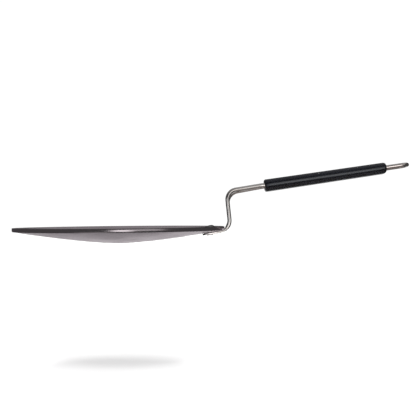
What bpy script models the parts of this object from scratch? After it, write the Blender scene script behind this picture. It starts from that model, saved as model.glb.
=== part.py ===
"""Shallow round-bottomed griddle pan with a cranked wire handle and a grip sleeve.

Metres, +Z up. Origin at the middle of the underside, handle toward +X.
"""
import bpy
import bmesh
import math
from mathutils import Matrix, Vector

MM = 0.001

# pan
PAN_RADIUS = 125.0
PAN_DEPTH = 14.75
PAN_THICKNESS = 4.35
PAN_EDGE_BULGE = 0.4
REST_RADIUS = 8.0
BOWL_POWER = 1.37
PAN_SEGMENTS = 64

# rivets
RIVET_X = 108.0
RIVET_Y = 25.0
SHANK_RADIUS = 2.7
HEAD_RADIUS = 5.5
HEAD_HEIGHT = 3.4
TAIL_RADIUS = 4.2
TAIL_HEIGHT = 0.45
FIT_GAP = 0.3

# handle wire
WIRE_RADIUS = 2.45
PADDLE_HALF_WIDTH = 6.0
PADDLE_HALF_THICKNESS = 0.9
PADDLE_TIP_X = 99.6
LOWER_BEND = (132.1, 24.0, 14.0)
LOWER_BEND_RADIUS = 14.0
NEAR_UPPER_BEND = (127.7, -18.0, 60.2)
FAR_UPPER_BEND = (127.7, 18.0, 58.8)
NEAR_UPPER_RADIUS = 12.2
FAR_UPPER_RADIUS = 14.9
NECK_X = 169.0
NEAR_NECK_RISE = 0.45
FAR_NECK_RISE = -0.05
LEG_Y = 8.5
EYE_CENTRE_X = 333.2

# grip sleeve
GRIP_FRONT_X = 173.05
GRIP_REAR_X = 315.4
GRIP_FRONT_Z = 66.7
GRIP_SLOPE = 0.1378
GRIP_ROLL = 2.7
GRIP_FRONT_HALF = (14.0, 7.35)
GRIP_REAR_HALF = (13.0, 6.65)


def underside(r):
    """Height of the pan's underside at radius r."""
    rise = max(r - REST_RADIUS, 0.0) / (PAN_RADIUS - REST_RADIUS)
    return PAN_DEPTH * rise ** BOWL_POWER


def underside_normal(x, y):
    """Unit normal of the pan's underside, pointing up into the plate."""
    r = math.hypot(x, y)
    slope = (underside(r + 0.5) - underside(r - 0.5))
    return Vector((-slope * x / r, -slope * y / r, 1.0)).normalized()


def grip_frame():
    """Directions along, across and up from the grip, which is rolled slightly about its length."""
    along = Vector((1.0, 0.0, GRIP_SLOPE)).normalized()
    level = Vector((0.0, 1.0, 0.0))
    across = Matrix.Rotation(math.radians(-GRIP_ROLL), 3, along) @ level
    return along, across, along.cross(across)


def on_grip_axis(x, side=0.0):
    """Point on the grip's middle line, or on the line of one leg inside it."""
    middle = Vector((x, 0.0, GRIP_FRONT_Z + GRIP_SLOPE * (x - GRIP_FRONT_X)))
    return middle + grip_frame()[1] * (side * LEG_Y)


def material(name, colour, roughness, metallic):
    mat = bpy.data.materials.new(name)
    mat.use_nodes = True
    shader = mat.node_tree.nodes["Principled BSDF"]
    shader.inputs["Base Color"].default_value = (*colour, 1.0)
    shader.inputs["Roughness"].default_value = roughness
    shader.inputs["Metallic"].default_value = metallic
    return mat


def add_object(name, bm, mat):
    bmesh.ops.recalc_face_normals(bm, faces=bm.faces)
    bmesh.ops.scale(bm, vec=(MM, MM, MM), verts=bm.verts)
    mesh = bpy.data.meshes.new(name)
    bm.to_mesh(mesh)
    bm.free()
    obj = bpy.data.objects.new(name, mesh)
    bpy.context.scene.collection.objects.link(obj)
    if mat is not None:
        mesh.materials.append(mat)
        mesh.shade_smooth()
        mesh.set_sharp_from_angle(angle=math.radians(38.0))
    return obj


def lathe(profile, segments):
    """Closed solid of revolution about Z; profile runs from axis to axis as (r, z)."""
    bm = bmesh.new()
    line = [bm.verts.new((r, 0.0, z)) for r, z in profile]
    edges = [bm.edges.new(pair) for pair in zip(line, line[1:])]
    bmesh.ops.spin(
        bm, geom=line + edges, cent=(0.0, 0.0, 0.0), axis=(0.0, 0.0, 1.0),
        angle=2.0 * math.pi, steps=segments, use_merge=True)
    bmesh.ops.remove_doubles(bm, verts=bm.verts, dist=0.0001)
    return bm


def tube(rings):
    """Closed solid through a list of equal rings, capped at both ends."""
    bm = bmesh.new()
    loops = [[bm.verts.new(p) for p in ring] for ring in rings]
    count = len(rings[0])
    for low, high in zip(loops, loops[1:]):
        for k in range(count):
            n = (k + 1) % count
            bm.faces.new((low[k], low[n], high[n], high[k]))
    bm.faces.new(loops[0][::-1])
    bm.faces.new(loops[-1])
    return bm


def cylinder(name, start, end, radius, segments=20):
    """Round cutter between two points, in millimetres."""
    axis = Vector(end) - Vector(start)
    turn = axis.to_track_quat("Z", "Y").to_matrix().to_4x4()
    place = Matrix.Translation((Vector(start) + Vector(end)) / 2.0) @ turn
    bm = bmesh.new()
    bmesh.ops.create_cone(
        bm, cap_ends=True, segments=segments, radius1=radius, radius2=radius,
        depth=axis.length, matrix=place)
    obj = add_object(name, bm, None)
    obj.hide_render = True
    obj.display_type = "WIRE"
    return obj


def cut(obj, cutter):
    mod = obj.modifiers.new(cutter.name, "BOOLEAN")
    mod.operation = "DIFFERENCE"
    mod.solver = "EXACT"
    mod.object = cutter


def filleted(points, radii, step=12.0):
    """Polyline with its inner corners rounded, as a list of points."""
    path = [Vector(points[0])]
    for before, corner, after, radius in zip(points, points[1:], points[2:], radii):
        corner = Vector(corner)
        back = (Vector(before) - corner).normalized()
        ahead = (Vector(after) - corner).normalized()
        turn = math.pi - back.angle(ahead)
        reach = radius * math.tan(turn / 2.0)
        centre = corner + (back + ahead).normalized() * (radius / math.cos(turn / 2.0))
        first = corner + back * reach - centre
        normal = back.cross(ahead).normalized()
        steps = max(2, math.ceil(math.degrees(turn) / step))
        for k in range(steps + 1):
            spin = Matrix.Rotation(-turn * k / steps, 3, normal)
            path.append(centre + spin @ first)
    path.append(Vector(points[-1]))
    return path


def paddle_height(x, y):
    """Height of the flattened end's middle, resting up against the underside."""
    normal = underside_normal(x, y)
    return underside(math.hypot(x, y)) - (FIT_GAP + PADDLE_HALF_THICKNESS + 0.1) / normal.z


def leg_path(side, upper_bend, upper_radius, neck_rise):
    """Centre line of one leg from the paddle's tip to the start of the eye."""
    tip_y = RIVET_Y + 0.35
    tip = (PADDLE_TIP_X, side * tip_y, paddle_height(PADDLE_TIP_X, tip_y))
    lower = (LOWER_BEND[0], side * LOWER_BEND[1], LOWER_BEND[2])
    neck = on_grip_axis(NECK_X, side) + Vector((0.0, 0.0, neck_rise))
    mouth = on_grip_axis(GRIP_FRONT_X + 1.5, side)
    eye = on_grip_axis(EYE_CENTRE_X, side)
    corners = [tip, lower, upper_bend, neck, mouth, eye]
    radii = [LOWER_BEND_RADIUS, upper_radius, 18.0, 12.0]
    path = filleted(corners, radii)
    start, bend = path[0], path[1]
    flat = [start.lerp(bend, t) for t in (0.0, 0.02, 0.07, 0.16, 0.3, 0.5, 0.7, 0.85)]
    return flat + path[1:]


def section(centre, tangent, up, half_width, half_height, power, count=16):
    """Ring of a superellipse section square to the path."""
    across = tangent.cross(up).normalized()
    rise = across.cross(tangent).normalized()
    ring = []
    for k in range(count):
        a = 2.0 * math.pi * k / count
        c, s = math.cos(a), math.sin(a)
        u = math.copysign(abs(c) ** (2.0 / power), c) * half_width
        v = math.copysign(abs(s) ** (2.0 / power), s) * half_height
        ring.append(centre + across * u + rise * v)
    return ring


def smooth(t):
    t = min(max(t, 0.0), 1.0)
    return t * t * (3.0 - 2.0 * t)


def leg_rings(side, path):
    """Sections along one leg: flat paddle, blend under the rim, then round rod."""
    up = underside_normal(RIVET_X, side * RIVET_Y)
    rings = []
    travelled = 0.0
    for k, point in enumerate(path):
        before = path[max(k - 1, 0)]
        after = path[min(k + 1, len(path) - 1)]
        tangent = (after - before).normalized()
        up = (up - tangent * up.dot(tangent)).normalized()
        travelled += (point - before).length
        round_part = smooth((travelled - 15.0) / 15.0)
        tip = math.sqrt(max(1.0 - (1.0 - min(travelled / 6.0, 1.0)) ** 2, 0.12))
        half_width = PADDLE_HALF_WIDTH * tip * (1.0 - round_part) + WIRE_RADIUS * round_part
        thick_part = smooth((travelled - 22.0) / 11.0)
        half_height = PADDLE_HALF_THICKNESS * (1.0 - thick_part) + WIRE_RADIUS * thick_part
        power = 4.0 - 2.0 * round_part
        rings.append(section(point, tangent, up, half_width, half_height, power))
    return rings


def eye_rings():
    """Half-circle of rod joining the two legs behind the grip."""
    along, across, up = grip_frame()
    centre = on_grip_axis(EYE_CENTRE_X)
    rings = []
    for k in range(1, 14):
        a = math.pi * k / 14.0
        spoke = along * math.sin(a) - across * math.cos(a)
        tangent = along * math.cos(a) + across * math.sin(a)
        rings.append(section(centre + spoke * LEG_Y, tangent, up, WIRE_RADIUS, WIRE_RADIUS, 2.0))
    return rings


def make_pan(mat):
    inner = PAN_RADIUS - PAN_EDGE_BULGE
    half = PAN_THICKNESS / 2.0
    radii = [REST_RADIUS, 20.0, 34.0, 50.0, 66.0, 82.0, 98.0, 111.0, inner]
    profile = [(0.0, 0.0)] + [(r, underside(r)) for r in radii]
    middle = underside(inner) + half
    for k in range(1, 6):
        t = k / 3.0 - 1.0
        profile.append((inner + PAN_EDGE_BULGE * (1.0 - t * t), middle + half * t))
    for r in reversed(radii):
        profile.append((r, underside(r) + PAN_THICKNESS))
    profile.append((0.0, PAN_THICKNESS))
    pan = add_object("pan", lathe(profile, PAN_SEGMENTS), mat)
    for side, tag in ((-1.0, "near"), (1.0, "far")):
        start, end = rivet_line(side, -4.0, 9.0)
        cut(pan, cylinder("pan_hole_" + tag, start, end, SHANK_RADIUS + FIT_GAP))
    return pan


def rivet_line(side, below, above):
    """Two points on a rivet's axis, measured from the pan's underside."""
    y = side * RIVET_Y
    base = Vector((RIVET_X, y, underside(math.hypot(RIVET_X, y))))
    normal = underside_normal(RIVET_X, y)
    return base + normal * below, base + normal * above


def make_handle(mat):
    near = leg_path(-1.0, NEAR_UPPER_BEND, NEAR_UPPER_RADIUS, NEAR_NECK_RISE)
    far = leg_path(1.0, FAR_UPPER_BEND, FAR_UPPER_RADIUS, FAR_NECK_RISE)
    near_rings = leg_rings(-1.0, near)
    far_rings = leg_rings(1.0, far)
    flipped = []
    for ring in reversed(far_rings):
        count = len(ring)
        flipped.append([ring[(count // 2 - k) % count] for k in range(count)])
    handle = add_object("handle_wire", tube(near_rings + eye_rings() + flipped), mat)
    for side, tag in ((-1.0, "near"), (1.0, "far")):
        start, end = rivet_line(side, -9.0, 3.0)
        cut(handle, cylinder("paddle_hole_" + tag, start, end, SHANK_RADIUS + FIT_GAP))
    return handle


def make_grip(mat):
    along, _, up = grip_frame()
    length = (GRIP_REAR_X - GRIP_FRONT_X) / along.x
    stations = [(0.0, 1.6), (0.6, 0.5), (1.8, 0.0), (length / 2.0, 0.0)]
    stations += [(length - 2.6, 0.0), (length - 1.1, 0.4), (length - 0.25, 1.2), (length, 1.9)]
    rings = []
    for distance, inset in stations:
        t = distance / length
        half_width = GRIP_FRONT_HALF[0] * (1.0 - t) + GRIP_REAR_HALF[0] * t - inset
        half_height = GRIP_FRONT_HALF[1] * (1.0 - t) + GRIP_REAR_HALF[1] * t - inset
        centre = on_grip_axis(GRIP_FRONT_X) + along * distance
        rings.append(section(centre, along, up, half_width, half_height, 2.6, 32))
    grip = add_object("grip_sleeve", tube(rings), mat)
    for side, tag in ((-1.0, "near"), (1.0, "far")):
        start = on_grip_axis(GRIP_FRONT_X - 6.0, side)
        end = on_grip_axis(GRIP_REAR_X + 6.0, side)
        cut(grip, cylinder("grip_passage_" + tag, start, end, WIRE_RADIUS + FIT_GAP + 0.05))
    return grip


def make_rivet(side, name, mat):
    base, tip = rivet_line(side, 0.0, 1.0)
    head = PAN_THICKNESS * underside_normal(RIVET_X, side * RIVET_Y).z + FIT_GAP
    tail = -(2.0 * FIT_GAP + 2.0 * PADDLE_HALF_THICKNESS + 0.2)
    profile = [
        (0.0, tail - TAIL_HEIGHT), (TAIL_RADIUS - 0.5, tail - TAIL_HEIGHT),
        (TAIL_RADIUS, tail - 0.2), (TAIL_RADIUS, tail), (SHANK_RADIUS, tail),
        (SHANK_RADIUS, head), (HEAD_RADIUS, head)]
    for k in range(1, 6):
        a = math.pi / 2.0 * k / 6.0
        profile.append((HEAD_RADIUS * math.cos(a) ** 0.75, head + HEAD_HEIGHT * math.sin(a)))
    profile.append((0.0, head + HEAD_HEIGHT))
    rivet = add_object(name, lathe(profile, 24), mat)
    rivet.location = base * MM
    rivet.rotation_euler = (tip - base).to_track_quat("Z", "Y").to_euler()
    return rivet


def build():
    for obj in list(bpy.data.objects):
        bpy.data.objects.remove(obj, do_unlink=True)
    pan_steel = material("pan_steel", (0.36, 0.35, 0.36), 0.28, 1.0)
    wire_steel = material("wire_steel", (0.62, 0.58, 0.56), 0.22, 1.0)
    rivet_steel = material("rivet_steel", (0.42, 0.41, 0.42), 0.3, 1.0)
    grip_plastic = material("grip_plastic", (0.018, 0.018, 0.02), 0.32, 0.0)
    make_pan(pan_steel)
    make_handle(wire_steel)
    make_grip(grip_plastic)
    make_rivet(-1.0, "rivet_near", rivet_steel)
    make_rivet(1.0, "rivet_far", rivet_steel)


build()
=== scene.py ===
"""Looks of the griddle pan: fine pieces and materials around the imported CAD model."""
import math

import bpy
import bmesh
from mathutils import Matrix, Vector


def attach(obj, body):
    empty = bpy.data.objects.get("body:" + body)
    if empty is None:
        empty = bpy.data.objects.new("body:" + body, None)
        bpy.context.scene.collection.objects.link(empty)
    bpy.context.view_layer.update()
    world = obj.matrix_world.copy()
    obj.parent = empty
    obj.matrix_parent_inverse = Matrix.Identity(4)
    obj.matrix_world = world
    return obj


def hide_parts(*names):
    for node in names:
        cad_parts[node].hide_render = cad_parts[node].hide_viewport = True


MM = 0.001
BODY = "root"
NEAR, FAR = -1.0, 1.0  # the handle's two legs and their rivets, by the sign of Y

# Sizes of the object are in millimetres and its angles in degrees.

# pan
PAN_RADIUS = 125.0
PAN_DEPTH = 14.75
PAN_THICKNESS = 4.35
PAN_EDGE_BULGE = 0.4
REST_RADIUS = 8.0
BOWL_POWER = 1.37

# rivets
RIVET_X = 108.0
RIVET_Y = 25.0
SHANK_RADIUS = 2.7
HEAD_RADIUS = 5.5
HEAD_HEIGHT = 3.4
HEAD_LIP = 0.15
HEAD_FULLNESS = 0.75
TAIL_RADIUS = 4.2
TAIL_HEIGHT = 0.45
TAIL_FLAT_INSET = 0.8
TAIL_BEVEL = 0.25
TAIL_WALL = 0.2
TAIL_CLEARANCE = 0.2
FIT_GAP = 0.3
HOLE_CLEARANCE = 0.25

# handle wire, a little thinner than the CAD model's so that finer facets stay in its box
WIRE_RADIUS = 2.42
LOWER_BEND = (132.1, 24.0, 14.0)
LOWER_BEND_RADIUS = 14.0
NEAR_UPPER_BEND = (127.7, -18.0, 60.2)
FAR_UPPER_BEND = (127.7, 18.0, 58.8)
NEAR_UPPER_RADIUS = 12.2
FAR_UPPER_RADIUS = 14.9
NECK_X = 169.0
NECK_RADIUS = 18.0
NEAR_NECK_RISE = 0.45
FAR_NECK_RISE = -0.05
MOUTH_DEPTH = 1.5
MOUTH_RADIUS = 12.0
LEG_Y = 8.5
EYE_CENTRE_X = 333.2

# flattened ends of the wire; distances run along it from the tip
PADDLE_HALF_WIDTH = 6.0
PADDLE_HALF_THICKNESS = 0.9
PADDLE_CORNER = 0.42
PADDLE_TIP_X = 99.6
PADDLE_SPLAY = 0.35
PADDLE_SINK = 0.1
TIP_LENGTH = 6.0
TIP_LEAST_SHARE = 0.02
ROUND_FROM, ROUND_OVER = 15.0, 15.0
THICK_FROM, THICK_OVER = 22.0, 11.0

# grip sleeve, its half sizes a little under the CAD model's for the same reason
GRIP_FRONT_X = 173.05
GRIP_REAR_X = 315.4
GRIP_FRONT_Z = 66.7
GRIP_SLOPE = 0.1378
GRIP_ROLL = 2.7
GRIP_FRONT_HALF = (13.95, 7.3)
GRIP_REAR_HALF = (12.95, 6.6)
GRIP_POWER = 2.6
GRIP_FRONT_ROUNDING = (1.8, 1.6)  # along the grip, across it
GRIP_REAR_ROUNDING = (2.6, 1.9)
GRIP_STATION = 8.0

# reach of the holes' cutters: below and above the plate's underside, and past the grip's ends
PLATE_CUT = (4.0, 9.0)
PADDLE_CUT = (9.0, 3.0)
GRIP_CUT = 6.0

# fineness of the meshes
SHARP_ANGLE = math.radians(40.0)
RING_POINTS = 32
PLATE_SEGMENTS = 256
PLATE_REST_RINGS = 3
PLATE_BOWL_RINGS = 40
PLATE_EDGE_STEPS = 12
RIVET_SEGMENTS = 64
RIVET_DOME_STEPS = 16
CUTTER_SEGMENTS = 40
TIP_STEPS = 8
EYE_STEPS = 36
LONGEST_STEP = 2.5
BEND_STEP = 4.0
GRIP_FRONT_STEPS = 6
GRIP_MIDDLE_STATIONS = 17
GRIP_REAR_STEPS = 8
UV_PER_MM = 0.01

# studio and camera: places and sizes in metres, angles in degrees, the sensor in millimetres
FLOOR_Z = -0.1425
FLOOR_X = 0.1
FLOOR_RADIUS = 12.0
SURROUND_RADIUS = 11.9
SURROUND_GLOW = 1.05
SENSOR_WIDTH = 36.0
FRAME_WIDTH, FOCAL_LENGTH = 420.0, 647.7  # only their ratio counts
CAMERA_PLACE = (0.129, -0.774, 0.02914)
CAMERA_TURN, CAMERA_TILT, CAMERA_ROLL = 1.572, 90.0 + 0.694, -0.487
CAMERA_REACH = 60.0


# ---------------------------------------------------------------- mesh helpers

def new_object(name, bm, mat, scale=MM):
    """Finished object with one material, smooth but for its sharp edges."""
    bmesh.ops.recalc_face_normals(bm, faces=bm.faces)
    bmesh.ops.scale(bm, vec=(scale, scale, scale), verts=bm.verts)
    mesh = bpy.data.meshes.new(name)
    bm.to_mesh(mesh)
    bm.free()
    obj = bpy.data.objects.new(name, mesh)
    bpy.context.scene.collection.objects.link(obj)
    mesh.materials.append(mat)
    mesh.shade_smooth()
    mesh.set_sharp_from_angle(angle=SHARP_ANGLE)
    return obj


def lathe(profile, segments):
    """Solid turned about Z from (radius, height) points; a radius of 0 closes it in a point."""
    bm = bmesh.new()
    angles = [2.0 * math.pi * k / segments for k in range(segments)]
    rings = []
    for r, z in profile:
        if r == 0.0:
            rings.append([bm.verts.new((0.0, 0.0, z))])
            continue
        rings.append([bm.verts.new((r * math.cos(a), r * math.sin(a), z)) for a in angles])
    for low, high in zip(rings, rings[1:]):
        for k in range(segments):
            n = (k + 1) % segments
            if len(low) == 1:
                bm.faces.new((low[0], high[n], high[k]))
            elif len(high) == 1:
                bm.faces.new((low[k], low[n], high[0]))
            else:
                bm.faces.new((low[k], low[n], high[n], high[k]))
    return bm


def tube(rings, lengths):
    """Closed solid through equal rings, with a UV map: U along the path, V around it."""
    bm = bmesh.new()
    uv = bm.loops.layers.uv.new("Along")
    loops = [[bm.verts.new(p) for p in ring] for ring in rings]
    count = len(rings[0])
    for i in range(len(loops) - 1):
        low, high = loops[i], loops[i + 1]
        for k in range(count):
            n = (k + 1) % count
            face = bm.faces.new((low[k], low[n], high[n], high[k]))
            around = (k / count, (k + 1) / count, (k + 1) / count, k / count)
            along = (lengths[i], lengths[i], lengths[i + 1], lengths[i + 1])
            for loop, u, v in zip(face.loops, along, around):
                loop[uv].uv = (u, v)
    bm.faces.new(loops[0][::-1])
    bm.faces.new(loops[-1])
    return bm


def smooth(t):
    """Soft step from 0 to 1 while t goes from 0 to 1."""
    t = min(max(t, 0.0), 1.0)
    return t * t * (3.0 - 2.0 * t)


def bore(obj, start, end, radius):
    """Cut a round hole right through a piece, between two points in millimetres."""
    axis = end - start
    turn = axis.to_track_quat("Z", "Y").to_matrix().to_4x4()
    bm = bmesh.new()
    bmesh.ops.create_cone(bm, cap_ends=True, segments=CUTTER_SEGMENTS,
                          radius1=radius, radius2=radius, depth=axis.length,
                          matrix=Matrix.Translation((start + end) / 2.0) @ turn)
    cutter = new_object("cutter", bm, obj.data.materials[0])
    mod = obj.modifiers.new("bore", "BOOLEAN")
    mod.solver = "EXACT"
    mod.object = cutter
    view = bpy.context.evaluated_depsgraph_get()
    obj.data = bpy.data.meshes.new_from_object(obj.evaluated_get(view))
    obj.modifiers.clear()
    obj.data.set_sharp_from_angle(angle=SHARP_ANGLE)
    bpy.data.objects.remove(cutter, do_unlink=True)


# ---------------------------------------------------------------- the object's shapes

def underside(r):
    """Height of the plate's underside at a distance from the middle."""
    rise = max(r - REST_RADIUS, 0.0) / (PAN_RADIUS - REST_RADIUS)
    return PAN_DEPTH * rise ** BOWL_POWER


def underside_normal(x, y):
    """Upward normal of the underside, from its rise over one millimetre."""
    r = math.hypot(x, y)
    slope = underside(r + 0.5) - underside(r - 0.5)
    return Vector((-slope * x / r, -slope * y / r, 1.0)).normalized()


def grip_frame():
    """Directions along, across and up from the grip, which is rolled slightly about its length."""
    along = Vector((1.0, 0.0, GRIP_SLOPE)).normalized()
    level = Vector((0.0, 1.0, 0.0))
    across = Matrix.Rotation(math.radians(-GRIP_ROLL), 3, along) @ level
    return along, across, along.cross(across)


def on_grip_axis(x, side=0.0):
    """Point on the grip's middle line, or on the line of one leg inside it."""
    middle = Vector((x, 0.0, GRIP_FRONT_Z + GRIP_SLOPE * (x - GRIP_FRONT_X)))
    return middle + grip_frame()[1] * (side * LEG_Y)


def filleted(points, radii):
    """Path through the points with each inner corner rounded to its radius."""
    path = [Vector(points[0])]
    for before, corner, after, radius in zip(points, points[1:], points[2:], radii):
        corner = Vector(corner)
        back = (Vector(before) - corner).normalized()
        ahead = (Vector(after) - corner).normalized()
        turn = math.pi - back.angle(ahead)
        reach = radius * math.tan(turn / 2.0)
        centre = corner + (back + ahead).normalized() * (radius / math.cos(turn / 2.0))
        first = corner + back * reach - centre
        normal = back.cross(ahead).normalized()
        steps = max(3, math.ceil(math.degrees(turn) / BEND_STEP))
        for k in range(steps + 1):
            spin = Matrix.Rotation(-turn * k / steps, 3, normal)
            path.append(centre + spin @ first)
    path.append(Vector(points[-1]))
    return path


def subdivided(path):
    """The same path with no step over LONGEST_STEP."""
    fine = [path[0]]
    for a, b in zip(path, path[1:]):
        parts = max(1, math.ceil((b - a).length / LONGEST_STEP))
        for k in range(1, parts + 1):
            fine.append(a.lerp(b, k / parts))
    return fine


def paddle_height(x, y):
    """Height of the flattened end's middle plane where it lies under the plate."""
    normal = underside_normal(x, y)
    below = FIT_GAP + PADDLE_HALF_THICKNESS + PADDLE_SINK
    return underside(math.hypot(x, y)) - below / normal.z


def leg_path(side, upper_bend, upper_radius, neck_rise):
    """Middle line of one leg: flattened tip, crank, neck, and on through the grip to the eye."""
    tip_y = RIVET_Y + PADDLE_SPLAY
    tip = (PADDLE_TIP_X, side * tip_y, paddle_height(PADDLE_TIP_X, tip_y))
    lower = (LOWER_BEND[0], side * LOWER_BEND[1], LOWER_BEND[2])
    neck = on_grip_axis(NECK_X, side) + Vector((0.0, 0.0, neck_rise))
    mouth = on_grip_axis(GRIP_FRONT_X + MOUTH_DEPTH, side)
    eye = on_grip_axis(EYE_CENTRE_X, side)
    corners = [tip, lower, upper_bend, neck, mouth, eye]
    path = filleted(corners, [LOWER_BEND_RADIUS, upper_radius, NECK_RADIUS, MOUTH_RADIUS])
    start, bend = path[0], path[1]
    reach = (bend - start).length
    rounded_tip = []
    for k in range(TIP_STEPS + 1):
        distance = TIP_LENGTH * (1.0 - math.cos(k * math.pi / (2.0 * TIP_STEPS)))
        rounded_tip.append(start + (bend - start) * (distance / reach))
    return rounded_tip + subdivided([rounded_tip[-1]] + path[1:])[1:]


def section(centre, tangent, up, half_width, half_height, corner):
    """Ring of a rounded rectangle square to the path; a round rod's corner is its radius."""
    across = tangent.cross(up).normalized()
    rise = across.cross(tangent).normalized()
    ring = []
    for k in range(RING_POINTS):
        a = 2.0 * math.pi * (k + 0.5) / RING_POINTS
        c, s = math.cos(a), math.sin(a)
        u = math.copysign(half_width - corner, c) + corner * c
        v = math.copysign(half_height - corner, s) + corner * s
        ring.append(centre + across * u + rise * v)
    return ring


def grip_section(centre, tangent, up, half_width, half_height):
    """Ring of the grip's flattened oval with full sides."""
    across = tangent.cross(up).normalized()
    ring = []
    for k in range(2 * RING_POINTS):
        a = math.pi * k / RING_POINTS
        c, s = math.cos(a), math.sin(a)
        u = math.copysign(abs(c) ** (2.0 / GRIP_POWER), c) * half_width
        v = math.copysign(abs(s) ** (2.0 / GRIP_POWER), s) * half_height
        ring.append(centre + across * u + up * v)
    return ring


def leg_rings(side, path):
    """Sections along one leg: a flat rounded tip that turns into the round rod."""
    up = underside_normal(RIVET_X, side * RIVET_Y)
    rings = []
    travelled = 0.0
    for k, point in enumerate(path):
        before = path[max(k - 1, 0)]
        after = path[min(k + 1, len(path) - 1)]
        tangent = (after - before).normalized()
        up = (up - tangent * up.dot(tangent)).normalized()
        travelled += (point - before).length
        round_part = smooth((travelled - ROUND_FROM) / ROUND_OVER)
        from_tip = min(travelled / TIP_LENGTH, 1.0)
        tip = math.sqrt(max(1.0 - (1.0 - from_tip) ** 2, TIP_LEAST_SHARE))
        half_width = PADDLE_HALF_WIDTH * tip * (1.0 - round_part) + WIRE_RADIUS * round_part
        thick_part = smooth((travelled - THICK_FROM) / THICK_OVER)
        half_height = PADDLE_HALF_THICKNESS * (1.0 - thick_part) + WIRE_RADIUS * thick_part
        corner = PADDLE_CORNER * (1.0 - thick_part) + WIRE_RADIUS * thick_part
        corner = min(corner, half_width, half_height)
        rings.append(section(point, tangent, up, half_width, half_height, corner))
    return rings


def eye_rings():
    """Sections round the half circle that joins the legs behind the grip."""
    along, across, up = grip_frame()
    centre = on_grip_axis(EYE_CENTRE_X)
    rings = []
    for k in range(1, EYE_STEPS):
        a = math.pi * k / EYE_STEPS
        spoke = along * math.sin(a) - across * math.cos(a)
        tangent = along * math.cos(a) + across * math.sin(a)
        place = centre + spoke * LEG_Y
        rings.append(section(place, tangent, up, WIRE_RADIUS, WIRE_RADIUS, WIRE_RADIUS))
    return rings


def ring_centre(ring):
    return sum(ring, Vector((0.0, 0.0, 0.0))) / len(ring)


def rivet_line(side):
    """Where a rivet's axis crosses the underside, and its direction."""
    y = side * RIVET_Y
    base = Vector((RIVET_X, y, underside(math.hypot(RIVET_X, y))))
    return base, underside_normal(RIVET_X, y)


def bore_for_rivets(piece, below, above):
    """Cut both rivet holes, from below the plate's underside to above it."""
    for side in (NEAR, FAR):
        base, normal = rivet_line(side)
        start, end = base - normal * below, base + normal * above
        bore(piece, start, end, SHANK_RADIUS + HOLE_CLEARANCE)


def make_pan(mat):
    """Dished plate of one thickness with a bulging edge and two rivet holes."""
    inner = PAN_RADIUS - PAN_EDGE_BULGE
    half = PAN_THICKNESS / 2.0
    radii = [REST_RADIUS * k / PLATE_REST_RINGS for k in range(1, PLATE_REST_RINGS + 1)]
    radii += [REST_RADIUS + (inner - REST_RADIUS) * (k / PLATE_BOWL_RINGS)
              for k in range(1, PLATE_BOWL_RINGS + 1)]
    profile = [(0.0, 0.0)] + [(r, underside(r)) for r in radii]
    middle = underside(inner) + half
    for k in range(1, 2 * PLATE_EDGE_STEPS):
        t = k / PLATE_EDGE_STEPS - 1.0
        profile.append((inner + PAN_EDGE_BULGE * (1.0 - t * t), middle + half * t))
    profile += [(r, underside(r) + PAN_THICKNESS) for r in reversed(radii)]
    profile.append((0.0, PAN_THICKNESS))
    plate = new_object("griddle_plate", lathe(profile, PLATE_SEGMENTS), mat)
    bore_for_rivets(plate, *PLATE_CUT)
    return plate


def make_wire(mat):
    """Hairpin of rod in one solid: near leg, eye and far leg, with a punched hole in each end."""
    near = leg_rings(NEAR, leg_path(NEAR, NEAR_UPPER_BEND, NEAR_UPPER_RADIUS, NEAR_NECK_RISE))
    far = leg_rings(FAR, leg_path(FAR, FAR_UPPER_BEND, FAR_UPPER_RADIUS, FAR_NECK_RISE))
    mirrored = [(RING_POINTS // 2 - 1 - k) % RING_POINTS for k in range(RING_POINTS)]
    flipped = [[ring[k] for k in mirrored] for ring in reversed(far)]
    rings = near + eye_rings() + flipped
    lengths = [0.0]
    for a, b in zip(rings, rings[1:]):
        lengths.append(lengths[-1] + (ring_centre(b) - ring_centre(a)).length)
    rod = new_object("bent_rod_handle", tube(rings, [v * UV_PER_MM for v in lengths]), mat)
    bore_for_rivets(rod, *PADDLE_CUT)
    return rod


def grip_stations(length):
    """Distances along the grip and how far its surface is drawn in there."""
    stations = []
    reach, inset = GRIP_FRONT_ROUNDING
    for k in range(GRIP_FRONT_STEPS + 1):
        a = math.pi / 2.0 * k / GRIP_FRONT_STEPS
        stations.append((reach * (1.0 - math.cos(a)), inset * (1.0 - math.sin(a))))
    for k in range(GRIP_MIDDLE_STATIONS):
        stations.append((GRIP_STATION + GRIP_STATION * k, 0.0))
    reach, inset = GRIP_REAR_ROUNDING
    for k in range(GRIP_REAR_STEPS + 1):
        a = math.pi / 2.0 * k / GRIP_REAR_STEPS
        stations.append((length - reach * (1.0 - math.sin(a)), inset * (1.0 - math.cos(a))))
    return stations


def make_grip(mat):
    """Tapered sleeve with rounded ends and a passage for each leg."""
    along, _, up = grip_frame()
    length = (GRIP_REAR_X - GRIP_FRONT_X) / along.x
    stations = grip_stations(length)
    rings = []
    for distance, inset in stations:
        t = distance / length
        half_width = GRIP_FRONT_HALF[0] * (1.0 - t) + GRIP_REAR_HALF[0] * t - inset
        half_height = GRIP_FRONT_HALF[1] * (1.0 - t) + GRIP_REAR_HALF[1] * t - inset
        centre = on_grip_axis(GRIP_FRONT_X) + along * distance
        rings.append(grip_section(centre, along, up, half_width, half_height))
    grip = new_object("grip", tube(rings, [d * UV_PER_MM for d, _ in stations]), mat)
    for side in (NEAR, FAR):
        start = on_grip_axis(GRIP_FRONT_X - GRIP_CUT, side)
        end = on_grip_axis(GRIP_REAR_X + GRIP_CUT, side)
        bore(grip, start, end, WIRE_RADIUS + HOLE_CLEARANCE)
    return grip


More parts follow.
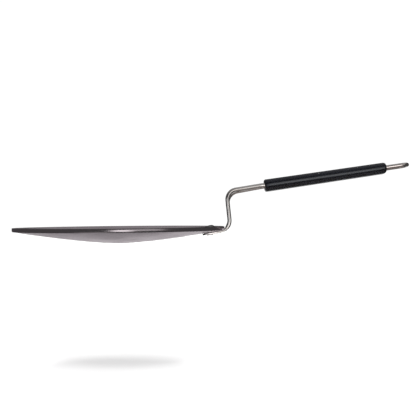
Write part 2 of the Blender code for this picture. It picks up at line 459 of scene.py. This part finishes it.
def make_rivet(side, name, mat):
    """Rivet with a domed head in the dish and a low hammered tail under the flattened end."""
    base, normal = rivet_line(side)
    head = PAN_THICKNESS * normal.z + FIT_GAP
    tail = -(2.0 * FIT_GAP + 2.0 * PADDLE_HALF_THICKNESS + TAIL_CLEARANCE)
    profile = [
        (0.0, tail - TAIL_HEIGHT),
        (TAIL_RADIUS - TAIL_FLAT_INSET, tail - TAIL_HEIGHT),
        (TAIL_RADIUS - TAIL_BEVEL, tail - TAIL_HEIGHT),
        (TAIL_RADIUS, tail - TAIL_WALL), (TAIL_RADIUS, tail),
        (SHANK_RADIUS, tail), (SHANK_RADIUS, head),
        (HEAD_RADIUS - HEAD_LIP, head), (HEAD_RADIUS, head + HEAD_LIP)]
    for k in range(1, RIVET_DOME_STEPS):
        a = math.pi / 2.0 * k / RIVET_DOME_STEPS
        reach = HEAD_RADIUS * math.cos(a) ** HEAD_FULLNESS
        profile.append((reach, head + HEAD_HEIGHT * math.sin(a)))
    profile.append((0.0, head + HEAD_HEIGHT))
    rivet = new_object(name, lathe(profile, RIVET_SEGMENTS), mat)
    rivet.location = base * MM
    rivet.rotation_euler = normal.to_track_quat("Z", "Y").to_euler()
    return rivet


# ---------------------------------------------------------------- materials

class Nodes:
    """Short calls for building a node tree."""

    def __init__(self, tree):
        self.tree = tree

    def add(self, kind, **values):
        node = self.tree.nodes.new(kind)
        for key, value in values.items():
            setattr(node, key, value)
        return node

    def link(self, source, target):
        self.tree.links.new(source, target)

    def feed(self, socket, value):
        if isinstance(value, bpy.types.NodeSocket):
            self.link(value, socket)
        else:
            socket.default_value = value

    def math(self, operation, a, b=0.0):
        node = self.add("ShaderNodeMath", operation=operation)
        self.feed(node.inputs[0], a)
        self.feed(node.inputs[1], b)
        return node.outputs[0]

    def ramp(self, value, low, high, to_low=0.0, to_high=1.0):
        """Soft step from to_low to to_high while the value goes from low to high."""
        node = self.add("ShaderNodeMapRange", interpolation_type="SMOOTHSTEP")
        self.feed(node.inputs["Value"], value)
        node.inputs["From Min"].default_value = low
        node.inputs["From Max"].default_value = high
        node.inputs["To Min"].default_value = to_low
        node.inputs["To Max"].default_value = to_high
        return node.outputs[0]

    def noise(self, vector, scale, detail, roughness=0.5):
        node = self.add("ShaderNodeTexNoise")
        self.link(vector, node.inputs["Vector"])
        node.inputs["Scale"].default_value = scale
        node.inputs["Detail"].default_value = detail
        node.inputs["Roughness"].default_value = roughness
        return node.outputs["Fac"]

    def combine(self, x, y, z):
        node = self.add("ShaderNodeCombineXYZ")
        for socket, value in zip(node.inputs, (x, y, z)):
            self.feed(socket, value)
        return node.outputs[0]

    def mix(self, factor, a, b):
        node = self.add("ShaderNodeMix", data_type="RGBA")
        self.feed(node.inputs["Factor"], factor)
        self.feed(node.inputs[6], a)
        self.feed(node.inputs[7], b)
        return node.outputs[2]

    def bump(self, height, strength, distance, normal=None):
        node = self.add("ShaderNodeBump")
        node.inputs["Strength"].default_value = strength
        node.inputs["Distance"].default_value = distance
        self.link(height, node.inputs["Height"])
        if normal is not None:
            self.link(normal, node.inputs["Normal"])
        return node.outputs["Normal"]


# tones from the cleanest to the most worn, or as each line says
PAN_TONES = ((0.62, 0.552, 0.582, 1.0), (0.56, 0.498, 0.527, 1.0))
PAN_RING_TONE = (0.67, 0.62, 0.64, 1.0)
PAN_EDGE_TINT = (0.92, 0.865, 0.905)
WIRE_TONES = ((0.78, 0.745, 0.725, 1.0), (0.68, 0.63, 0.605, 1.0))
WIRE_SCRATCH_TONE = (0.50, 0.465, 0.45, 1.0)
RIVET_TONES = ((0.30, 0.29, 0.295, 1.0), (0.20, 0.19, 0.195, 1.0))
# the rivet tail's lighter tone is a painted reflection of the pale table below it, not a colour of
# the steel
RIVET_TAIL_PAINTED_REFLECTION_TONE = (0.72, 0.67, 0.65, 1.0)
RIVET_TAIL_REFLECTION_RANGE = (-0.0010, -0.0022)  # heights in metres over which the tail's painted reflection fades in
GRIP_TONES = ((0.004, 0.0045, 0.0075, 1.0), (0.007, 0.0078, 0.0115, 1.0))
PAPER_TONES = ((0.90, 0.90, 0.90, 1.0), (0.915, 0.915, 0.915, 1.0))
TURNED_STRETCH = 0.004  # how little the turned rings change round the plate
DRAWN_STRETCH = 0.6     # how little the scratches change along the rod


def start_material(name, metallic, edge_tint=(1.0, 1.0, 1.0)):
    """New material with a Principled shader; the tint colours a metal's grazing reflections."""
    mat = bpy.data.materials.new(name)
    mat.use_nodes = True
    shader = mat.node_tree.nodes["Principled BSDF"]
    shader.inputs["Metallic"].default_value = metallic
    shader.inputs["Specular Tint"].default_value = (*edge_tint, 1.0)
    return mat, Nodes(mat.node_tree), shader


def pan_material():
    """Bare steel plate, turned on a lathe: fine rings, a soft bloom and a few smudges."""
    mat, n, shader = start_material("turned_steel", 1.0, PAN_EDGE_TINT)
    place = n.add("ShaderNodeTexCoord").outputs["Object"]
    split = n.add("ShaderNodeSeparateXYZ")
    n.link(place, split.inputs[0])
    x, y, _ = split.outputs
    radius = n.math("SQRT", n.math("ADD", n.math("MULTIPLY", x, x), n.math("MULTIPLY", y, y)))
    turn = n.math("ARCTAN2", y, x)
    lathe_space = n.combine(radius, n.math("MULTIPLY", turn, TURNED_STRETCH), 0.0)
    rings = n.noise(lathe_space, 900.0, 4.0, 0.6)
    broad = n.noise(lathe_space, 110.0, 2.0, 0.5)
    smudge = n.noise(place, 22.0, 5.0, 0.6)
    grain = n.noise(place, 900.0, 3.0, 0.6)
    tone = n.mix(n.ramp(smudge, 0.35, 0.7), *PAN_TONES)
    tone = n.mix(n.ramp(rings, 0.35, 0.75, 0.0, 0.35), tone, PAN_RING_TONE)
    n.link(tone, shader.inputs["Base Color"])
    rough = n.math("ADD", n.ramp(smudge, 0.3, 0.75, 0.15, 0.22), n.ramp(rings, 0.3, 0.8, 0.0, 0.05))
    n.link(rough, shader.inputs["Roughness"])
    first = n.bump(rings, 0.1, 0.00003)
    second = n.bump(broad, 0.15, 0.0001, first)
    n.link(n.bump(grain, 0.06, 0.00002, second), shader.inputs["Normal"])
    return mat


def wire_material():
    """Drawn steel rod: scratches along its length and a faint warm tarnish."""
    mat, n, shader = start_material("drawn_steel", 1.0)
    uv = n.add("ShaderNodeUVMap", uv_map="Along")
    split = n.add("ShaderNodeSeparateXYZ")
    n.link(uv.outputs[0], split.inputs[0])
    u, v, _ = split.outputs
    turn = n.math("MULTIPLY", v, 2.0 * math.pi)
    stretched = n.math("MULTIPLY", u, DRAWN_STRETCH)
    wrap = n.combine(stretched, n.math("COSINE", turn), n.math("SINE", turn))
    drawn = n.noise(wrap, 9.0, 4.0, 0.65)
    place = n.add("ShaderNodeTexCoord").outputs["Object"]
    tarnish = n.noise(place, 35.0, 4.0, 0.6)
    tone = n.mix(n.ramp(tarnish, 0.35, 0.72), *WIRE_TONES)
    tone = n.mix(n.ramp(drawn, 0.55, 0.85, 0.0, 0.35), tone, WIRE_SCRATCH_TONE)
    n.link(tone, shader.inputs["Base Color"])
    n.link(n.ramp(drawn, 0.25, 0.8, 0.10, 0.20), shader.inputs["Roughness"])
    first = n.bump(drawn, 0.08, 0.00002)
    n.link(n.bump(n.noise(place, 420.0, 3.0), 0.05, 0.00002, first), shader.inputs["Normal"])
    return mat


def rivet_material():
    """Cold-headed steel: small hammer dimples."""
    mat, n, shader = start_material("headed_steel", 1.0)
    place = n.add("ShaderNodeTexCoord").outputs["Object"]
    dimples = n.add("ShaderNodeTexVoronoi", feature="SMOOTH_F1")
    n.link(place, dimples.inputs["Vector"])
    dimples.inputs["Scale"].default_value = 620.0
    stain = n.noise(place, 300.0, 4.0, 0.6)
    tone = n.mix(n.ramp(stain, 0.35, 0.7), *RIVET_TONES)
    split = n.add("ShaderNodeSeparateXYZ")
    n.link(place, split.inputs[0])
    # below these heights the rivet is painted lighter: a painted reflection of the pale table on
    # its tail
    painted_tail_reflection = n.ramp(split.outputs[2], *RIVET_TAIL_REFLECTION_RANGE)
    tone = n.mix(painted_tail_reflection, tone, RIVET_TAIL_PAINTED_REFLECTION_TONE)
    n.link(tone, shader.inputs["Base Color"])
    n.link(n.ramp(stain, 0.3, 0.75, 0.26, 0.42), shader.inputs["Roughness"])
    first = n.bump(dimples.outputs["Distance"], 0.3, 0.00012)
    n.link(n.bump(n.noise(place, 2200.0, 2.0), 0.15, 0.00003, first), shader.inputs["Normal"])
    return mat


def grip_material():
    """Black moulded plastic: fine grain, slightly uneven gloss and dust-pale scuffs."""
    mat, n, shader = start_material("moulded_black", 0.0)
    shader.inputs["Specular IOR Level"].default_value = 0.5
    place = n.add("ShaderNodeTexCoord").outputs["Object"]
    cloud = n.noise(place, 60.0, 4.0, 0.6)
    grain = n.noise(place, 1500.0, 3.0, 0.6)
    tone = n.mix(n.ramp(cloud, 0.35, 0.75), *GRIP_TONES)
    n.link(tone, shader.inputs["Base Color"])
    n.link(n.ramp(cloud, 0.3, 0.75, 0.20, 0.30), shader.inputs["Roughness"])
    n.link(n.bump(grain, 0.06, 0.00002), shader.inputs["Normal"])
    return mat


def floor_material():
    """Matte white paper sweep with a barely visible fibre."""
    mat, n, shader = start_material("paper_sweep", 0.0)
    place = n.add("ShaderNodeTexCoord").outputs["Object"]
    fibre = n.noise(place, 240.0, 3.0, 0.6)
    tone = n.mix(fibre, *PAPER_TONES)
    n.link(tone, shader.inputs["Base Color"])
    shader.inputs["Roughness"].default_value = 0.95
    shader.inputs["Specular IOR Level"].default_value = 0.1
    return mat


# ---------------------------------------------------------------- studio

def make_stage():
    """White floor far below the object, and a glowing surround that only the camera sees."""
    bm = bmesh.new()
    bmesh.ops.create_circle(bm, cap_ends=True, segments=96, radius=FLOOR_RADIUS)
    floor = new_object("studio_floor", bm, floor_material(), 1.0)
    floor.location = (FLOOR_X, 0.0, FLOOR_Z)
    floor.visible_glossy = False
    bm = bmesh.new()
    bmesh.ops.create_uvsphere(bm, u_segments=48, v_segments=24, radius=SURROUND_RADIUS)
    glow = bpy.data.materials.new("white_surround")
    glow.use_nodes = True
    tree = glow.node_tree
    tree.nodes.clear()
    emit = tree.nodes.new("ShaderNodeEmission")
    emit.inputs["Strength"].default_value = SURROUND_GLOW
    out = tree.nodes.new("ShaderNodeOutputMaterial")
    tree.links.new(emit.outputs[0], out.inputs["Surface"])
    dome = new_object("studio_surround", bm, glow, 1.0)
    for ray in ("visible_glossy", "visible_diffuse", "visible_shadow", "visible_transmission"):
        setattr(dome, ray, False)


# A window is (start, full, end, gone): it opens over the first pair and closes over the second.
# Angles are in degrees, azimuth from the front toward the grip.

# panels in front: azimuth window, elevation window, level
PANELS = (
    ((-1.0, 4.0, 17.0, 23.0), (-24.0, -16.0, 10.0, 16.0), 1.50),
    ((15.0, 24.0, 45.0, 62.0), (-10.0, -3.0, 16.0, 26.0), 0.52),
    ((-46.0, -34.0, -8.0, 2.0), (-76.0, -62.0, -32.0, -22.0), 0.25),
)

# the rest of the room: where each part fades in, by elevation or by a direction's X or Y, and
# its level; the side shares change that level from left to right
BEHIND_RANGE = (0.78, 0.97)
TABLE_WINDOW, TABLE_LEVEL = (-29.0, -7.0, -3.0, -0.5), 0.68
TABLE_SIDE_RANGE, TABLE_SIDE_SHARES = (-0.30, -0.12), (0.74, 1.04)
WALL_WINDOW, WALL_LEVEL = (8.0, 17.0, 40.0, 70.0), 0.28
CEILING_RANGE, CEILING_LEVEL = (36.0, 52.0), 0.26
CEILING_SIDE_RANGE, CEILING_SIDE_SHARES = (-0.50, 0.50), (0.55, 1.45)
BELOW_RANGE, BELOW_COLOUR = (-45.0, -70.0), (0.20, 0.165, 0.155)
AMBIENT_LEVEL = 0.07


def make_world():
    """Room that the metal mirrors: dark, a pale table and wall behind, soft panels in front."""
    world = bpy.data.worlds.new("studio")
    bpy.context.scene.world = world
    world.use_nodes = True
    tree = world.node_tree
    tree.nodes.clear()
    n = Nodes(tree)
    direction = n.add("ShaderNodeTexCoord").outputs["Generated"]
    split = n.add("ShaderNodeSeparateXYZ")
    n.link(direction, split.inputs[0])
    x, y, z = split.outputs
    degrees = math.degrees(1.0)
    front = n.math("MULTIPLY", y, -1.0)
    azimuth = n.math("MULTIPLY", n.math("ARCTAN2", x, front), degrees)
    elevation = n.math("MULTIPLY", n.math("ARCSINE", z), degrees)

    def window(value, start, full, end, gone):
        opening = n.ramp(value, start, full)
        return n.math("MULTIPLY", opening, n.ramp(value, end, gone, 1.0, 0.0))

    behind = n.ramp(y, *BEHIND_RANGE)
    ceiling_side = n.ramp(x, *CEILING_SIDE_RANGE, *CEILING_SIDE_SHARES)
    ceiling = n.math("MULTIPLY", n.ramp(elevation, *CEILING_RANGE), ceiling_side)
    table_side = n.ramp(x, *TABLE_SIDE_RANGE, *TABLE_SIDE_SHARES)
    table = n.math("MULTIPLY", window(elevation, *TABLE_WINDOW), table_side)
    wall = window(elevation, *WALL_WINDOW)
    levels = [(n.math("MULTIPLY", behind, table), TABLE_LEVEL),
              (n.math("MULTIPLY", behind, wall), WALL_LEVEL),
              (ceiling, CEILING_LEVEL)]
    for around, height, level in PANELS:
        panel = n.math("MULTIPLY", window(azimuth, *around), window(elevation, *height))
        levels.append((panel, level))
    below = n.ramp(elevation, *BELOW_RANGE)

    total = None
    for part, level in levels:
        share = n.math("MULTIPLY", part, level)
        total = share if total is None else n.math("ADD", total, share)
    total = n.math("ADD", total, AMBIENT_LEVEL)
    neutral = n.combine(total, total, total)
    warm = n.combine(*[n.math("MULTIPLY", below, level) for level in BELOW_COLOUR])
    colour = n.add("ShaderNodeVectorMath", operation="ADD")
    n.link(neutral, colour.inputs[0])
    n.link(warm, colour.inputs[1])
    background = n.add("ShaderNodeBackground")
    n.link(colour.outputs[0], background.inputs["Color"])
    out = n.add("ShaderNodeOutputWorld")
    n.link(background.outputs[0], out.inputs["Surface"])


# overhead lights: tilt toward the front (degrees), energy, casts a shadow
OVERHEAD_LIGHTS = (
    (31.0, 1.10, True),
    (-31.0, 1.10, True),
    (0.0, 2.25, False),
)
OVERHEAD_SOFTNESS = 13.0


def make_overhead_lights():
    """Two crossed keys and a shadowless fill: only the overlap of the two shadows shows."""
    for tilt, energy, casts in OVERHEAD_LIGHTS:
        data = bpy.data.lights.new("overhead", "SUN")
        data.energy = energy
        data.angle = math.radians(OVERHEAD_SOFTNESS)
        data.use_shadow = casts
        sun = bpy.data.objects.new("overhead", data)
        bpy.context.scene.collection.objects.link(sun)
        sun.rotation_euler = (math.radians(tilt), 0.0, 0.0)
        sun.visible_glossy = False


# softboxes that each light one piece: point aimed at (metres), azimuth, elevation and spread
# (degrees), distance and size (metres), power, colour
ROD_SOFTBOXES = (
    ((0.130, -0.021, 0.040), -21.0, 3.0, 180.0, 0.30, (0.24, 0.22), 0.12, (0.93, 0.975, 1.0)),
    ((0.155, -0.015, 0.064), 28.0, -15.0, 180.0, 0.20, (0.14, 0.24), 0.055, (1.0, 0.98, 0.95)),
    ((0.330, -0.009, 0.088), 14.6, -14.0, 80.0, 0.12, (0.06, 0.09), 0.0025, (1.0, 0.88, 0.85)),
    ((0.108, -0.030, 0.011), 3.0, -8.0, 60.0, 0.06, (0.05, 0.05), 0.0002, (1.0, 0.94, 0.92)),
)
GRIP_SOFTBOX = ((0.235, 0.0, 0.076), 9.0, -2.0, 180.0, 0.40, (0.30, 0.13), 0.14, (0.82, 0.90, 1.0))


def make_softbox(piece, aim, azimuth, elevation, spread, distance, size, power, colour):
    """Rectangular softbox in front of the object whose light falls on one piece only."""
    data = bpy.data.lights.new("softbox", "AREA")
    data.shape = "RECTANGLE"
    data.size, data.size_y = size
    data.energy = power
    data.color = colour
    data.spread = math.radians(spread)
    turn, rise = math.radians(azimuth), math.radians(elevation)
    away = Vector((math.sin(turn) * math.cos(rise), -math.cos(turn) * math.cos(rise),
                   math.sin(rise)))
    box = bpy.data.objects.new("softbox", data)
    bpy.context.scene.collection.objects.link(box)
    box.location = Vector(aim) + away * distance
    box.rotation_euler = away.to_track_quat("Z", "Y").to_euler()
    box.visible_camera = False
    lit = bpy.data.collections.new("lit_" + piece.name)
    lit.objects.link(piece)
    box.light_linking.receiver_collection = lit


def make_camera():
    """Camera on the near side, almost level with the plate."""
    data = bpy.data.cameras.new("camera")
    data.sensor_width = SENSOR_WIDTH
    data.lens = SENSOR_WIDTH * FOCAL_LENGTH / FRAME_WIDTH
    data.clip_end = CAMERA_REACH
    camera = bpy.data.objects.new("camera", data)
    bpy.context.scene.collection.objects.link(camera)
    camera.location = CAMERA_PLACE
    turn = Matrix.Rotation(math.radians(CAMERA_TURN), 3, "Z")
    tilt = Matrix.Rotation(math.radians(CAMERA_TILT), 3, "X")
    roll = Matrix.Rotation(math.radians(CAMERA_ROLL), 3, "Z")
    camera.rotation_euler = (turn @ tilt @ roll).to_euler()
    bpy.context.scene.camera = camera


def add_piece(piece, node):
    """Puts a piece in the place of a CAD node, on the one body."""
    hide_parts(node)
    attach(piece, BODY)


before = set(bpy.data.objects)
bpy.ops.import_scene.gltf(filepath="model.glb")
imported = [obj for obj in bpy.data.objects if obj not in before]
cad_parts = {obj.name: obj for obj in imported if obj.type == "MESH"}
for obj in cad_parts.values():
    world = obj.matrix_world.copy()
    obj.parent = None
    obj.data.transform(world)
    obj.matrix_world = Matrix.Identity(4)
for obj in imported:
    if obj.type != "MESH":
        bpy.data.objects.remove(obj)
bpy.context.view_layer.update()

rivet_steel = rivet_material()
add_piece(make_pan(pan_material()), "pan")
rod = make_wire(wire_material())
add_piece(rod, "handle_wire")
grip = make_grip(grip_material())
add_piece(grip, "grip_sleeve")
add_piece(make_rivet(NEAR, "rivet_front", rivet_steel), "rivet_near")
add_piece(make_rivet(FAR, "rivet_back", rivet_steel), "rivet_far")

make_stage()
make_world()
make_overhead_lights()
for settings in ROD_SOFTBOXES:
    make_softbox(rod, *settings)
make_softbox(grip, *GRIP_SOFTBOX)
make_camera()
bpy.context.scene.view_settings.view_transform = "Standard"
